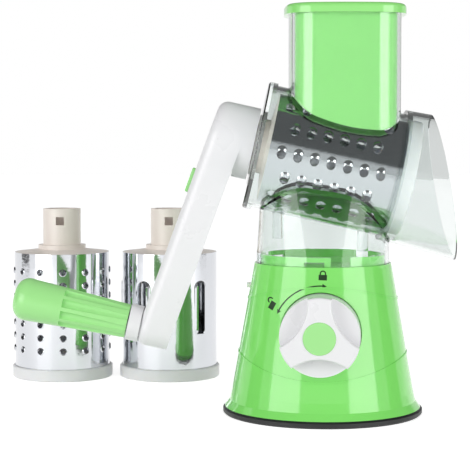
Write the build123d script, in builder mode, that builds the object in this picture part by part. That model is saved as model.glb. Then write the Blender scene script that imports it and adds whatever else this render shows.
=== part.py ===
"""Hand-cranked rotary drum shredder on a suction base, with two spare drums.

Frame: +Z up, origin on the table under the middle of the base. +X runs towards the discharge
spout, and -Y towards the side with the suction knob. Lengths are millimetres.

The drum turns about an axis that dips towards the spout. On the SIDE plane, x runs along that
axis and y away from it. On the KNOB_PLANE, z runs outwards along the knob's own axis.
"""

from build123d import *
import math
import os

# ---------------------------------------------------------------- driving dimensions

# drum axis, which crosses the base's own axis at this height
AXIS_Z = 167.3
TILT = 12.5  # degrees that it dips towards the spout

# base shell
BASE_TOP_Z = 99.6
BASE_TOP_R = 45.2
CONE_FOOT_Z = 15.2
CONE_FOOT_R = 60.1
FOOT_R = 64.7
STEP_R = 61.5
STEP_Z = 9.0  # where the flared foot drops straight to its edge
BASE_WALL = 2.5
RIM_WALL = 1.2
DECK_Z = 96.4
DECK = 2.5
COLLAR_R = 40.9
COLLAR_WALL = 2.5
COLLAR_TOP_Z = 105.5
LINE_PROUD = 0.5  # the raised lines over and under the knob
LINE_W = 1.0
LINE_TOP_Z = 87.0
LINE_LOW_Z = 28.0
LINE_BOW = 14.0  # how far each line bends towards the knob's height at the sides
SCREW_RING_R = 46.0
SCREW_POST_R = 4.0
SCREW_POST_TOP_Z = 70.0

# suction pad
PAD_R = 66.0
PAD_RIM_H = 4.5
PAD_RIM_IN_R = 50.0
PAD_SKIN = 2.4
PAD_DOME = 4.3  # how far the locked pad's middle stands off the table
PAD_BOSS_R = 12.0
PAD_BOSS_TOP_Z = 12.5
INSERT_R = 9.0
INSERT_T = 2.0

# frame that carries the suction linkage
PLATE_Z = 10.0
PLATE_T = 3.5
PLATE_HOLE_R = 13.0
SKIRT_R = 57.0
SKIRT_WALL = 4.0
CHEEK_W = 34.0
CHEEK_T = 4.0
SCREW_R = 1.6
SCREW_HEAD_R = 3.2
SCREW_HEAD_H = 2.0
SCREW_LEN = 12.0

# cam, lifter and their pin and spring
LIFT = 4.0
LOCK_TURN = 70.0  # degrees from locked to released
CAM_R = 11.0
CAM_W = 7.0
SHAFT_R = 5.0
YOKE_T = 8.0
YOKE_WALL = 4.5
STUD_R = 3.0
YOKE_BOSS_R = 6.0
YOKE_BOSS_H = 9.0
PIN_R = 1.25
SPRING_R = 8.0
SPRING_WIRE_R = 0.7
SPRING_TURNS = 4
SPRING_SEAT = 1.5
PIN_Z = 38.5
CHEEK_TOP_Z = 67.0
CLIP_T = 1.2
CLIP_R = 7.0
CLIP_GROOVE = 1.0

# suction knob
KNOB_Z = 58.0
KNOB_SWING = 4.7  # degrees that the knob faces off -Y
KNOB_R = 25.4
KNOB_FRONT = 75.0  # from the base's axis to the knob's face
POCKET_FLOOR = 43.5
POCKET_GAP = 0.8
KNOB_CAP_R = 10.3
KNOB_CAP_T = 2.0
KNOB_SKIRT = 22.0  # from the knob's back to the floor of its scoops
KNOB_ROUND = 1.2
SCOOP_R = 30.0
SCOOP_NEAR = 13.2  # from the knob's axis to a scoop's flank
SQUARE = 6.4
KNOB_SCREW_R = 1.75
KNOB_SCREW_HEAD_R = 3.4
KNOB_SCREW_HEAD_T = 2.2
KNOB_SCREW_LEN = 12.0
KNOB_WEB = 2.6
KNOB_WALL = 2.2

# clear housing
SHELL = 2.2
CHAMBER_R = 41.0
CHAMBER_START = -45.7
CHAMBER_END = 50.0
END_WALL = 3.0
FLANGE_R = 42.4
FLANGE_T = 6.0
NECK_LOW_Z = 96.7
NECK_LOW_R = 43.8
NECK_WAIST_Z = 106.4
NECK_TOP_Z = 150.0
NECK_TOP_W = 82.0
NECK_TOP_D = 72.0
NECK_CORNER = 30.0
LUG_W = 12.0
LUG_H = 3.0
LUG_Z = 99.2
LUG_ANGLE = 259.0
LUG_TWIST = 24.0  # degrees that the housing turns to come off
POST_LEFT_X = -29.8
POST_RIGHT_X = 26.4
POST_R = 3.7
POST_LEFT_Z = 115.5
POST_RIGHT_Z = 106.9
CHUTE_X = 13.8
CHUTE_W = 73.3
CHUTE_D = 66.0
CHUTE_CORNER = 18.0
CHUTE_BULGE = 4.0
CHUTE_TOP_Z = 261.4
CHUTE_WALL = 1.9

# spout
SPOUT_START = 46.2
SPOUT_R = 43.6
SPOUT_END_R = 46.0
MOUTH_TOP = 62.0
MOUTH_LOW = 98.8

# drum, standing on its ring: heights run from the ring's open end
DRUM_R = 36.0
SHEET = 0.7
RING_R = 38.0
RING_H = 9.0
RING_WALL = 4.4
SHEET_LOW = 5.5
DRUM_TOP = 95.0
CAP_TOP = 97.2
CAP_T = 2.6
HUB_R = 14.3
HUB_WALL = 3.0
HUB_TOP = 127.8
WINDOW = 6.2
SHOULDER_R = 18.0
SHOULDER_TOP = 100.4
KEY_W = 5.0
KEY_H = 4.0
WINDOW_TOP = 6.0  # from the hub's open end to its window
DRUM_PLACE = 58.0  # where the fitted drum's ring ends along the drum's axis
TOOTH_ROWS = 14
TOOTH_PITCH = 10.8
TOOTH_FIRST = 22.1
TOOTH_PER_ROW = 7
TOOTH_R = 4.6
TOOTH_PROUD = 1.4
TOOTH_HOLE_R = 2.9
GRATER_ROWS = 13
GRATER_PER_ROW = 7
GRATER_PITCH = 9.8
GRATER_FIRST = 22.5
GRATER_R = 3.6
GRATER_PROUD = 1.3
GRATER_HOLE_R = 2.1
SLOTS = 5
SLOT_LEN = 46.0
SLOT_W = 5.5
SLOT_LEAN = 22.0
BLADE_RISE = 2.2

# bushing in the end wall
BUSH_WALL = 1.6
BUSH_FLANGE_R = 20.0
BUSH_FLANGE_T = 0.8
RUN_GAP = 0.05
CURVE_GAP = 0.3

# crank
CRANK_FACE = -47.0
CRANK_HUB_R = 23.9
ARM_SLANT = 7.6  # degrees that the arm leans away from the housing
ARM_T = 22.3
ARM_OUT = -77.2  # where the arm's outer face crosses the drum's axis
CRANK_THROW = 132.5
ARM_FOOT_R = 13.0
ARM_ROUND = 7.0
ARM_WALL = 2.4
PARTING = 7.0
SOCKET_WALL = 2.4
FOOT_FACE = -102.2
SPINDLE_R = 4.0
SPINDLE_HEAD_R = 7.0
SPINDLE_HEAD_T = 3.0
CRANK_SCREWS = (70.0, 106.0)  # from the drum's axis down the arm
CRANK_SCREW_R = 1.5
CRANK_SCREW_HEAD_R = 2.8
CRANK_SCREW_HEAD_T = 2.0
CRANK_POST_R = 4.2
GRIP_END = -179.6
GRIP_NECK_R = 11.2
GRIP_WIDE_R = 14.2
GRIP_ROUND = 9.0
GRIP_GAP = 0.8
FLUTES = 10
FLUTE_R = 3.0
FLUTE_DEEP = 0.5
FLUTE_END = -147.0

# latch slider in the arm
LATCH_W = 5.0
LATCH_T = 3.0
HOOK_ASIDE = 1.0  # how far the hook stands off the window's middle, clear of the arm's wall
LATCH_REACH = 2.2  # how far its tip stands into the drum hub's window
LATCH_TRAVEL = 3.0
BUTTON_LEN = 16.5
BUTTON_W = 9.0
BUTTON_START = 24.0
BUTTON_PROUD = 2.3
SLIDE_GAP = 0.3
LATCH_SPRING_R = 1.5
LATCH_SPRING_WIRE_R = 0.25
LATCH_SPRING_LEN = 14.0
LATCH_SPRING_TURNS = 7

# pusher
PUSHER_GAP = 0.4
PUSHER_WALL = 2.0
PUSHER_OVER_DRUM = 1.6
RIM_OVER = 3.1
RIM_H = 6.4
RIM_ROUND = 2.6

# housing catch
CATCH_Z = 84.5
CATCH_W = 6.0
CATCH_H = 3.0
CATCH_PROUD = 2.3
CATCH_LEN = 9.0
CATCH_TRAVEL = 2.0
CATCH_SPRING_R = 2.0
CATCH_SPRING_LEN = 7.0
TONGUE_T = 1.8
TONGUE_TOP_Z = 99.4

# spare drums
SPARE_PLACES = {"spare_grater": (-190.0, 158.0), "spare_slicer": (-108.0, 158.0)}

# small allowances shared by several pieces
SINK = 0.5  # how far a cutter or a thin skin starts under a face
CUT_PAST = 10.0  # how far a cutter runs past what it cuts
END_GAP = 0.05  # between a spring's end and its seat
REST_GAP = 0.1
SOFT_EDGE = 0.5
NEARLY_ROUND = 0.05  # what a rounded square lacks of a full circle
CROSS_LEN = 3.4  # cross recess in the screws' heads
CROSS_W = 0.9
SCREWS = 4
SMALL_WIRE_R = 0.3
LINE_RISE = 1.3  # height of a raised line's bow at the sides over that at its middle
DOME_HALFWAY = 0.75  # height of the pad's dome halfway out, as a share of its crown
PAD_EDGE_RISE = 0.2
PAD_LIP = 1.2
INSERT_UP = 0.5
CLIP_MOUTH = 6.4
CLIP_CUT = 11.0
SPRING_SEAT = 1.5
SCOOPS = 3
SCOOP_TURN = 30.0
KNOB_CAP_SEAT = 2.1
CAP_PROUD = 0.4
DRIVE_FLOOR = 0.2
CATCH_SPRING_TURNS = 4
CATCH_SHELF = 4.0
MOUTH_OVER = 4.0
RING_ROOM = 0.4
RING_EDGE = 0.8
BAR_OVER = 1.4  # a blade's raised lip over the width of its slot
SLOT_TURN = 24.0
SLOT_UP = 4.0
TOOTH_TIP_R = 2.4
SCREW_SHORT = 1.5
BUTTON_CORNER = 1.5
BUTTON_SOFT = 0.8

os.makedirs("parts", exist_ok=True)

# ---------------------------------------------------------------- planes and derived sizes

DIP = math.radians(TILT)
ALONG = Vector(math.cos(DIP), 0, -math.sin(DIP))
AWAY = Vector(math.sin(DIP), 0, math.cos(DIP))
CENTRE = Vector(0, 0, AXIS_Z)
SIDE = Plane(origin=CENTRE, x_dir=ALONG, z_dir=(0, -1, 0))
LEVEL = Plane(origin=CENTRE, x_dir=ALONG, z_dir=AWAY)
DRUM_AXIS = Axis(CENTRE, ALONG)

SWING = math.radians(KNOB_SWING)
KNOB_WAY = Vector(-math.sin(SWING), -math.cos(SWING), 0)
KNOB_RIGHT = Vector(math.cos(SWING), -math.sin(SWING), 0)
KNOB_PLANE = Plane(origin=(0, 0, KNOB_Z), x_dir=KNOB_RIGHT, z_dir=KNOB_WAY)
BEHIND_KNOB = Plane(origin=(0, 0, 0), x_dir=KNOB_RIGHT, z_dir=KNOB_WAY)
BASE_PLANE = Plane(origin=(0, 0, 0), x_dir=KNOB_RIGHT, z_dir=(0, 0, 1))

CONE_SLOPE = (CONE_FOOT_R - BASE_TOP_R) / (BASE_TOP_Z - CONE_FOOT_Z)
BORE_R = RING_R + RING_ROOM
ECCENTRIC = LIFT / 2 / math.sin(math.radians(LOCK_TURN / 2))


def cone_r(z):
    """Outer radius of the base's cone at a height."""
    return BASE_TOP_R + CONE_SLOPE * (BASE_TOP_Z - z)


def across(t):
    """Plane square to the drum's axis, t along it: x away from the axis, z along the axis."""
    return Plane(origin=CENTRE + ALONG * t, x_dir=AWAY, z_dir=ALONG)


def turned(points, plane, axis):
    """A body of revolution from its half section."""
    with BuildPart() as body:
        with BuildSketch(plane):
            with BuildLine():
                Polyline(*points, close=True)
            make_face()
        revolve(axis=axis)
    return body.part


def save(part, name):
    """Labels a finished piece and writes it as its own node."""
    part.label = name
    export_step(part, f"parts/{name}.step")


def coil(plane, radius, height, turns, wire_r):
    """A compression spring whose wire lies wholly between the plane and the given height."""
    rise = height - 2 * wire_r
    wire = plane.offset(wire_r).location * Helix(pitch=rise / turns, height=rise, radius=radius)
    with BuildPart() as spring:
        with BuildSketch(Plane(origin=wire @ 0, z_dir=wire % 0)):
            Circle(wire_r)
        sweep(path=wire, is_frenet=True)
    return spring.part


# ---------------------------------------------------------------- base shell

RIM_IN_R = BASE_TOP_R - RIM_WALL
CONE_OUTER = [(BASE_TOP_R, BASE_TOP_Z), (CONE_FOOT_R, CONE_FOOT_Z), (STEP_R, STEP_Z), (FOOT_R, PAD_RIM_H)]
DECK_UNDER = DECK_Z - DECK
CATCH_OUT = cone_r(CATCH_Z) + CATCH_PROUD
CATCH_IN = CATCH_OUT - CATCH_LEN
TONGUE_OUT = NECK_LOW_R - RUN_GAP

pocket_lip = turned([(0, DECK_UNDER), *CONE_OUTER[:2], (0, CONE_FOOT_Z)], Plane.XZ, Axis.Z)
line_skin = turned([(cone_r(z) + side, z) for z, side in ((DECK_Z, -SINK), (DECK_Z, LINE_PROUD),
                    (CONE_FOOT_Z, LINE_PROUD), (CONE_FOOT_Z, -SINK))], Plane.XZ, Axis.Z)

with BuildPart() as knob_pocket:
    with BuildSketch(KNOB_PLANE.offset(POCKET_FLOOR - BASE_WALL)):
        Circle(KNOB_R + POCKET_GAP + BASE_WALL)
    extrude(amount=CONE_FOOT_R)
    add(pocket_lip, mode=Mode.INTERSECT)

with BuildPart() as raised_lines:
    for middle, bow in ((LINE_TOP_Z, -LINE_BOW), (LINE_LOW_Z, LINE_BOW)):
        with BuildSketch(BEHIND_KNOB):
            with BuildLine():
                ends = middle + bow * LINE_RISE
                upper = ThreePointArc((-FOOT_R, ends), (0, middle), (FOOT_R, ends))
                offset(upper, amount=LINE_W / 2, side=Side.BOTH)
            make_face()
        extrude(amount=FOOT_R + BASE_WALL, both=True)
    add(line_skin, mode=Mode.INTERSECT)

with BuildPart() as base_shell:
    with BuildSketch(Plane.XZ):
        with BuildLine():
            Polyline((0, DECK_Z), (RIM_IN_R, DECK_Z), (RIM_IN_R, BASE_TOP_Z), *CONE_OUTER,
                     (FOOT_R - BASE_WALL, PAD_RIM_H), (CONE_FOOT_R - BASE_WALL, CONE_FOOT_Z - 1),
                     (cone_r(DECK_UNDER) - BASE_WALL, DECK_UNDER), (0, DECK_UNDER), close=True)
        make_face()
    revolve(axis=Axis.Z)
    # collar that the housing's neck drops over
    with BuildSketch(Plane.XY.offset(DECK_Z)):
        Circle(COLLAR_R)
        Circle(COLLAR_R - COLLAR_WALL, mode=Mode.SUBTRACT)
    extrude(amount=COLLAR_TOP_Z - DECK_Z)
    add(knob_pocket.part)
    add(raised_lines.part)
    # posts for the frame's screws
    with BuildSketch(BASE_PLANE.offset(PLATE_Z + PLATE_T)):
        with PolarLocations(SCREW_RING_R, SCREWS, start_angle=45):
            Circle(SCREW_POST_R)
    extrude(amount=SCREW_POST_TOP_Z - PLATE_Z - PLATE_T)
    with BuildSketch(BASE_PLANE.offset(PLATE_Z + PLATE_T)):
        with PolarLocations(SCREW_RING_R, SCREWS, start_angle=45):
            Circle(SCREW_R)
    extrude(amount=SCREW_LEN, mode=Mode.SUBTRACT)
    # wall behind the catch's spring
    with BuildSketch(Plane.XY.offset(DECK_UNDER)):
        with Locations((-CATCH_IN + CATCH_SPRING_LEN + BASE_WALL / 2, 0)):
            Rectangle(BASE_WALL, CATCH_W + CATCH_SHELF)
    extrude(amount=-(DECK_UNDER - CATCH_Z + CATCH_H))
    # pocket for the knob, hole for its shaft
    with BuildSketch(KNOB_PLANE.offset(POCKET_FLOOR)):
        Circle(KNOB_R + POCKET_GAP)
    extrude(amount=CONE_FOOT_R, mode=Mode.SUBTRACT)
    with BuildSketch(KNOB_PLANE.offset(POCKET_FLOOR - 2 * BASE_WALL)):
        Circle(SHAFT_R + CURVE_GAP)
    extrude(amount=4 * BASE_WALL, mode=Mode.SUBTRACT)
    # bayonet slots in the collar: each lug drops in at the side and turns under the lip
    with BuildSketch(Plane.XY.offset(LUG_Z - CURVE_GAP)):
        with PolarLocations(COLLAR_R, 3, start_angle=LUG_ANGLE):
            Rectangle(3 * COLLAR_WALL, LUG_W + 1)
    extrude(amount=LUG_H + 2 * CURVE_GAP, mode=Mode.SUBTRACT)
    with BuildSketch(Plane.XY.offset(LUG_Z - CURVE_GAP)):
        with PolarLocations(COLLAR_R, 3, start_angle=LUG_ANGLE + LUG_TWIST):
            Rectangle(3 * COLLAR_WALL, LUG_W + 1)
    extrude(amount=COLLAR_TOP_Z, mode=Mode.SUBTRACT)
    # way through for the catch and its tongue
    with BuildSketch(Plane.YZ.offset(-CATCH_OUT)):
        with Locations((0, CATCH_Z)):
            Rectangle(CATCH_W + 2 * SLIDE_GAP, CATCH_H + 2 * SLIDE_GAP)
    extrude(amount=CATCH_LEN, mode=Mode.SUBTRACT)
    with BuildSketch(Plane.XY.offset(CATCH_Z)):
        with Locations((-TONGUE_OUT + (TONGUE_T + CATCH_TRAVEL) / 2, 0)):
            Rectangle(TONGUE_T + CATCH_TRAVEL + 2 * SLIDE_GAP, CATCH_W - 1)
    extrude(amount=COLLAR_TOP_Z, mode=Mode.SUBTRACT)
save(base_shell.part, "base_shell")

# ---------------------------------------------------------------- suction pad and its stud

INSERT_Z = (PAD_DOME + PAD_BOSS_TOP_Z - INSERT_T) / 2 + INSERT_UP
YOKE_LOW_IN = KNOB_Z + LIFT / 2 - CAM_R - 2 * CURVE_GAP
YOKE_LOW = YOKE_LOW_IN - YOKE_WALL
STUD_TOP = YOKE_LOW - 1


def stud_form(gap):
    """The pad's stud with its moulded-in disc, or the space that it takes in its neighbours."""
    return turned([(0, INSERT_Z - gap), (INSERT_R + gap, INSERT_Z - gap),
                   (INSERT_R + gap, INSERT_Z + INSERT_T + gap), (STUD_R + gap, INSERT_Z + INSERT_T + gap),
                   (STUD_R + gap, STUD_TOP + gap), (0, STUD_TOP + gap)], Plane.XZ, Axis.Z)


with BuildPart() as suction_pad:
    with BuildSketch(Plane.XZ):
        with BuildLine():
            ThreePointArc((0, PAD_DOME), (PAD_RIM_IN_R / 2, PAD_DOME * DOME_HALFWAY), (PAD_RIM_IN_R, 0))
            Polyline((PAD_RIM_IN_R, 0), (PAD_R - 1, 0), (PAD_R, 1), (PAD_R, PAD_RIM_H - PAD_LIP),
                     (FOOT_R, PAD_RIM_H), (PAD_RIM_IN_R + 1, PAD_RIM_H),
                     (PAD_RIM_IN_R - 1, PAD_SKIN + PAD_EDGE_RISE))
            ThreePointArc((PAD_RIM_IN_R - 1, PAD_SKIN + PAD_EDGE_RISE),
                          (PAD_RIM_IN_R / 2, PAD_DOME * DOME_HALFWAY + PAD_SKIN),
                          (PAD_BOSS_R, PAD_DOME + PAD_SKIN))
            Polyline((PAD_BOSS_R, PAD_DOME + PAD_SKIN), (PAD_BOSS_R, PAD_BOSS_TOP_Z), (0, PAD_BOSS_TOP_Z),
                     (0, PAD_DOME))
        make_face()
    revolve(axis=Axis.Z)
    add(stud_form(RUN_GAP), mode=Mode.SUBTRACT)
save(suction_pad.part, "suction_pad")

with BuildPart() as pad_stud:
    add(stud_form(0))
    with BuildSketch(KNOB_PLANE.offset(-STUD_R)):
        with Locations((0, PIN_Z - KNOB_Z)):
            Circle(PIN_R)
    extrude(amount=2 * STUD_R, mode=Mode.SUBTRACT)
save(pad_stud.part, "pad_stud")

# ---------------------------------------------------------------- frame of the suction linkage

CHEEK_NEAR = YOKE_T / 2 + SLIDE_GAP
CHEEK_FAR = CHEEK_NEAR + CHEEK_T

with BuildPart() as suction_frame:
    with BuildSketch(BASE_PLANE.offset(PAD_RIM_H)):
        Circle(SKIRT_R)
    extrude(amount=PLATE_Z + PLATE_T - PAD_RIM_H)
    with BuildSketch(BASE_PLANE.offset(PAD_RIM_H)):
        Circle(SKIRT_R - SKIRT_WALL)
    extrude(amount=PLATE_Z - PAD_RIM_H, mode=Mode.SUBTRACT)
    with BuildSketch(KNOB_PLANE.offset(-CHEEK_FAR)):
        with Locations((0, (CHEEK_TOP_Z + PLATE_Z) / 2 - KNOB_Z)):
            Rectangle(CHEEK_W, CHEEK_TOP_Z - PLATE_Z)
    extrude(amount=2 * CHEEK_FAR)
    with BuildSketch(KNOB_PLANE.offset(-CHEEK_NEAR)):
        with Locations((0, (CHEEK_TOP_Z + PLATE_Z + PLATE_T) / 2 - KNOB_Z)):
            Rectangle(2 * CHEEK_W, CHEEK_TOP_Z - PLATE_Z - PLATE_T)
    extrude(amount=2 * CHEEK_NEAR, mode=Mode.SUBTRACT)
    with BuildSketch(KNOB_PLANE.offset(-CHEEK_FAR)):
        Circle(SHAFT_R + RUN_GAP)
    extrude(amount=2 * CHEEK_FAR, mode=Mode.SUBTRACT)
    with BuildSketch(BASE_PLANE):
        Circle(PLATE_HOLE_R)
        with PolarLocations(SCREW_RING_R, SCREWS, start_angle=45):
            Circle(SCREW_R + RUN_GAP)
    extrude(amount=PLATE_Z + PLATE_T, mode=Mode.SUBTRACT)
    with BuildSketch(BASE_PLANE):
        Circle(YOKE_BOSS_R + 2 * CURVE_GAP)
    extrude(amount=YOKE_LOW + 1, mode=Mode.SUBTRACT)
save(suction_frame.part, "suction_frame")

with BuildPart() as frame_screws:
    with BuildSketch(BASE_PLANE.offset(PLATE_Z)):
        with PolarLocations(SCREW_RING_R, SCREWS, start_angle=45):
            Circle(SCREW_HEAD_R)
    extrude(amount=-SCREW_HEAD_H)
    with BuildSketch(BASE_PLANE.offset(PLATE_Z)):
        with PolarLocations(SCREW_RING_R, SCREWS, start_angle=45):
            Circle(SCREW_R)
    extrude(amount=SCREW_LEN)
    with BuildSketch(BASE_PLANE.offset(PLATE_Z - SCREW_HEAD_H)):
        with PolarLocations(SCREW_RING_R, SCREWS, start_angle=45):
            Rectangle(CROSS_LEN, CROSS_W)
            Rectangle(CROSS_W, CROSS_LEN)
    extrude(amount=SCREW_HEAD_H / 2, mode=Mode.SUBTRACT)
save(frame_screws.part, "frame_screws")

# ---------------------------------------------------------------- cam shaft, lifter, pin and spring

CAM_ANGLE = math.radians(180 - LOCK_TURN / 2)
CAM_X = ECCENTRIC * math.cos(CAM_ANGLE)
CAM_Y = ECCENTRIC * math.sin(CAM_ANGLE)
KNOB_BACK = POCKET_FLOOR + CURVE_GAP
SCOOP_FLOOR = KNOB_BACK + KNOB_SKIRT
SQUARE_END = KNOB_FRONT - KNOB_CAP_T - KNOB_SCREW_HEAD_T - KNOB_WEB
YOKE_TOP_IN = KNOB_Z + LIFT / 2 + CAM_R + CURVE_GAP
YOKE_TOP = YOKE_TOP_IN + YOKE_WALL
YOKE_HALF = CAM_R + ECCENTRIC + CURVE_GAP
CLIP_START = CHEEK_FAR + CURVE_GAP

with BuildPart() as cam_shaft:
    with BuildSketch(KNOB_PLANE.offset(-CLIP_START - CLIP_T - 2)):
        Circle(SHAFT_R)
    extrude(amount=CLIP_START + CLIP_T + 2 + KNOB_BACK + 2)
    with BuildSketch(KNOB_PLANE.offset(KNOB_BACK)):
        Rectangle(SQUARE, SQUARE)
    extrude(amount=SQUARE_END - KNOB_BACK)
    with BuildSketch(KNOB_PLANE.offset(-CAM_W / 2)):
        with Locations((CAM_X, CAM_Y)):
            Circle(CAM_R)
    extrude(amount=CAM_W)
    with BuildSketch(KNOB_PLANE.offset(-CLIP_START)):
        Circle(SHAFT_R + 1)
        Circle(SHAFT_R - CLIP_GROOVE, mode=Mode.SUBTRACT)
    extrude(amount=-CLIP_T, mode=Mode.SUBTRACT)
    with BuildSketch(KNOB_PLANE.offset(SQUARE_END)):
        Circle(KNOB_SCREW_R)
    extrude(amount=-KNOB_SCREW_LEN, mode=Mode.SUBTRACT)
save(cam_shaft.part, "cam_shaft")

with BuildPart() as shaft_clip:
    with BuildSketch(KNOB_PLANE.offset(-CLIP_START)):
        Circle(CLIP_R)
        Circle(SHAFT_R - CLIP_GROOVE + RUN_GAP, mode=Mode.SUBTRACT)
        with Locations((0, -CLIP_R)):
            Rectangle(CLIP_MOUTH, CLIP_CUT, mode=Mode.SUBTRACT)
    extrude(amount=-CLIP_T)
save(shaft_clip.part, "shaft_clip")

with BuildPart() as lifter_yoke:
    with BuildSketch(KNOB_PLANE.offset(-YOKE_T / 2)):
        with Locations((0, (YOKE_TOP + YOKE_LOW) / 2 - KNOB_Z)):
            RectangleRounded(2 * (YOKE_HALF + YOKE_WALL), YOKE_TOP - YOKE_LOW, 3)
        with Locations((0, (YOKE_TOP_IN + YOKE_LOW_IN) / 2 - KNOB_Z)):
            RectangleRounded(2 * YOKE_HALF, YOKE_TOP_IN - YOKE_LOW_IN, 2, mode=Mode.SUBTRACT)
    extrude(amount=YOKE_T)
    with BuildSketch(Plane.XY.offset(YOKE_TOP)):
        Circle(SPRING_R + SPRING_SEAT)
    extrude(amount=SPRING_SEAT)
    with BuildSketch(Plane.XY.offset(YOKE_LOW - YOKE_BOSS_H)):
        Circle(YOKE_BOSS_R)
    extrude(amount=YOKE_BOSS_H)
    add(stud_form(RUN_GAP), mode=Mode.SUBTRACT)
    with BuildSketch(KNOB_PLANE.offset(-YOKE_BOSS_R)):
        with Locations((0, PIN_Z - KNOB_Z)):
            Circle(PIN_R)
    extrude(amount=2 * YOKE_BOSS_R, mode=Mode.SUBTRACT)
save(lifter_yoke.part, "lifter_yoke")

with BuildPart() as stud_pin:
    with BuildSketch(KNOB_PLANE.offset(-YOKE_BOSS_R + RUN_GAP)):
        with Locations((0, PIN_Z - KNOB_Z)):
            Circle(PIN_R)
    extrude(amount=2 * YOKE_BOSS_R - 2 * RUN_GAP)
save(stud_pin.part, "stud_pin")

SPRING_LOW = YOKE_TOP + SPRING_SEAT
save(coil(Plane.XY.offset(SPRING_LOW + END_GAP), SPRING_R,
          DECK_UNDER - SPRING_LOW - 2 * END_GAP, SPRING_TURNS,
          SPRING_WIRE_R), "return_spring")

# ---------------------------------------------------------------- suction knob

with BuildPart() as lock_knob:
    with BuildSketch(KNOB_PLANE.offset(KNOB_BACK)):
        Circle(KNOB_R)
    extrude(amount=KNOB_FRONT - KNOB_BACK)
    with BuildSketch(KNOB_PLANE.offset(SCOOP_FLOOR)):
        with PolarLocations(SCOOP_NEAR + SCOOP_R, SCOOPS, start_angle=SCOOP_TURN):
            Circle(SCOOP_R)
    extrude(amount=KNOB_FRONT, mode=Mode.SUBTRACT)
    fillet(lock_knob.faces().sort_by(Axis(KNOB_PLANE.origin, KNOB_WAY))[-1].edges(), radius=KNOB_ROUND)
    # hollow back, with a boss round the shaft's square
    with BuildSketch(KNOB_PLANE.offset(KNOB_BACK)):
        Circle(KNOB_R - KNOB_WALL)
        Circle(SQUARE + 2, mode=Mode.SUBTRACT)
    extrude(amount=KNOB_SKIRT - KNOB_WEB, mode=Mode.SUBTRACT)
    with BuildSketch(KNOB_PLANE.offset(KNOB_BACK)):
        Rectangle(SQUARE + 2 * RUN_GAP, SQUARE + 2 * RUN_GAP)
    extrude(amount=SQUARE_END - KNOB_BACK, mode=Mode.SUBTRACT)
    with BuildSketch(KNOB_PLANE.offset(KNOB_BACK)):
        Circle(SHAFT_R + RUN_GAP)
    extrude(amount=KNOB_CAP_SEAT, mode=Mode.SUBTRACT)
    with BuildSketch(KNOB_PLANE.offset(SQUARE_END)):
        Circle(KNOB_SCREW_R + RUN_GAP)
    extrude(amount=KNOB_WEB, mode=Mode.SUBTRACT)
    with BuildSketch(KNOB_PLANE.offset(KNOB_FRONT)):
        Circle(KNOB_CAP_R + RUN_GAP)
    extrude(amount=-KNOB_CAP_T, mode=Mode.SUBTRACT)
    with BuildSketch(KNOB_PLANE.offset(KNOB_FRONT)):
        Circle(KNOB_SCREW_HEAD_R + CURVE_GAP)
    extrude(amount=-KNOB_CAP_T - KNOB_SCREW_HEAD_T, mode=Mode.SUBTRACT)
save(lock_knob.part, "lock_knob")

with BuildPart() as knob_cap:
    with BuildSketch(KNOB_PLANE.offset(KNOB_FRONT - KNOB_CAP_T)):
        Circle(KNOB_CAP_R)
    extrude(amount=KNOB_CAP_T + CAP_PROUD)
    fillet(knob_cap.faces().sort_by(Axis(KNOB_PLANE.origin, KNOB_WAY))[-1].edges(), radius=SOFT_EDGE)
save(knob_cap.part, "knob_cap")

with BuildPart() as knob_screw:
    with BuildSketch(KNOB_PLANE.offset(SQUARE_END + KNOB_WEB)):
        Circle(KNOB_SCREW_HEAD_R)
    extrude(amount=KNOB_SCREW_HEAD_T - DRIVE_FLOOR)
    with BuildSketch(KNOB_PLANE.offset(SQUARE_END + KNOB_WEB)):
        Circle(KNOB_SCREW_R)
    extrude(amount=-KNOB_SCREW_LEN)
save(knob_screw.part, "knob_screw")

# ---------------------------------------------------------------- housing catch

with BuildPart() as housing_lock_button:
    with BuildSketch(Plane.YZ.offset(-CATCH_OUT)):
        with Locations((0, CATCH_Z)):
            RectangleRounded(CATCH_W, CATCH_H, 1)
    extrude(amount=CATCH_LEN)
    with BuildSketch(Plane.XY.offset(CATCH_Z)):
        with Locations((-TONGUE_OUT + TONGUE_T / 2, 0)):
            Rectangle(TONGUE_T, CATCH_W - 2)
    extrude(amount=TONGUE_TOP_Z - CATCH_Z)
save(housing_lock_button.part, "housing_lock_button")
save(coil(Plane(origin=(-CATCH_IN + END_GAP, 0, CATCH_Z), x_dir=(0, 1, 0), z_dir=(1, 0, 0)), CATCH_SPRING_R,
          CATCH_SPRING_LEN - 2 * END_GAP, CATCH_SPRING_TURNS, SMALL_WIRE_R), "housing_button_spring")

# ---------------------------------------------------------------- clear housing


def chute_section(growth):
    """The chute's bulged outline, grown or shrunk all round."""
    half_w = CHUTE_W / 2 + growth
    half_d = CHUTE_D / 2 + growth
    in_w = half_w - CHUTE_BULGE
    in_d = half_d - CHUTE_BULGE
    with BuildSketch() as section:
        with BuildLine():
            ThreePointArc((CHUTE_X - in_w, -in_d), (CHUTE_X, -half_d), (CHUTE_X + in_w, -in_d))
            ThreePointArc((CHUTE_X + in_w, -in_d), (CHUTE_X + half_w, 0), (CHUTE_X + in_w, in_d))
            ThreePointArc((CHUTE_X + in_w, in_d), (CHUTE_X, half_d), (CHUTE_X - in_w, in_d))
            ThreePointArc((CHUTE_X - in_w, in_d), (CHUTE_X - half_w, 0), (CHUTE_X - in_w, -in_d))
        make_face()
        fillet(section.vertices(), radius=CHUTE_CORNER + growth)
    return section.sketch


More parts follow.
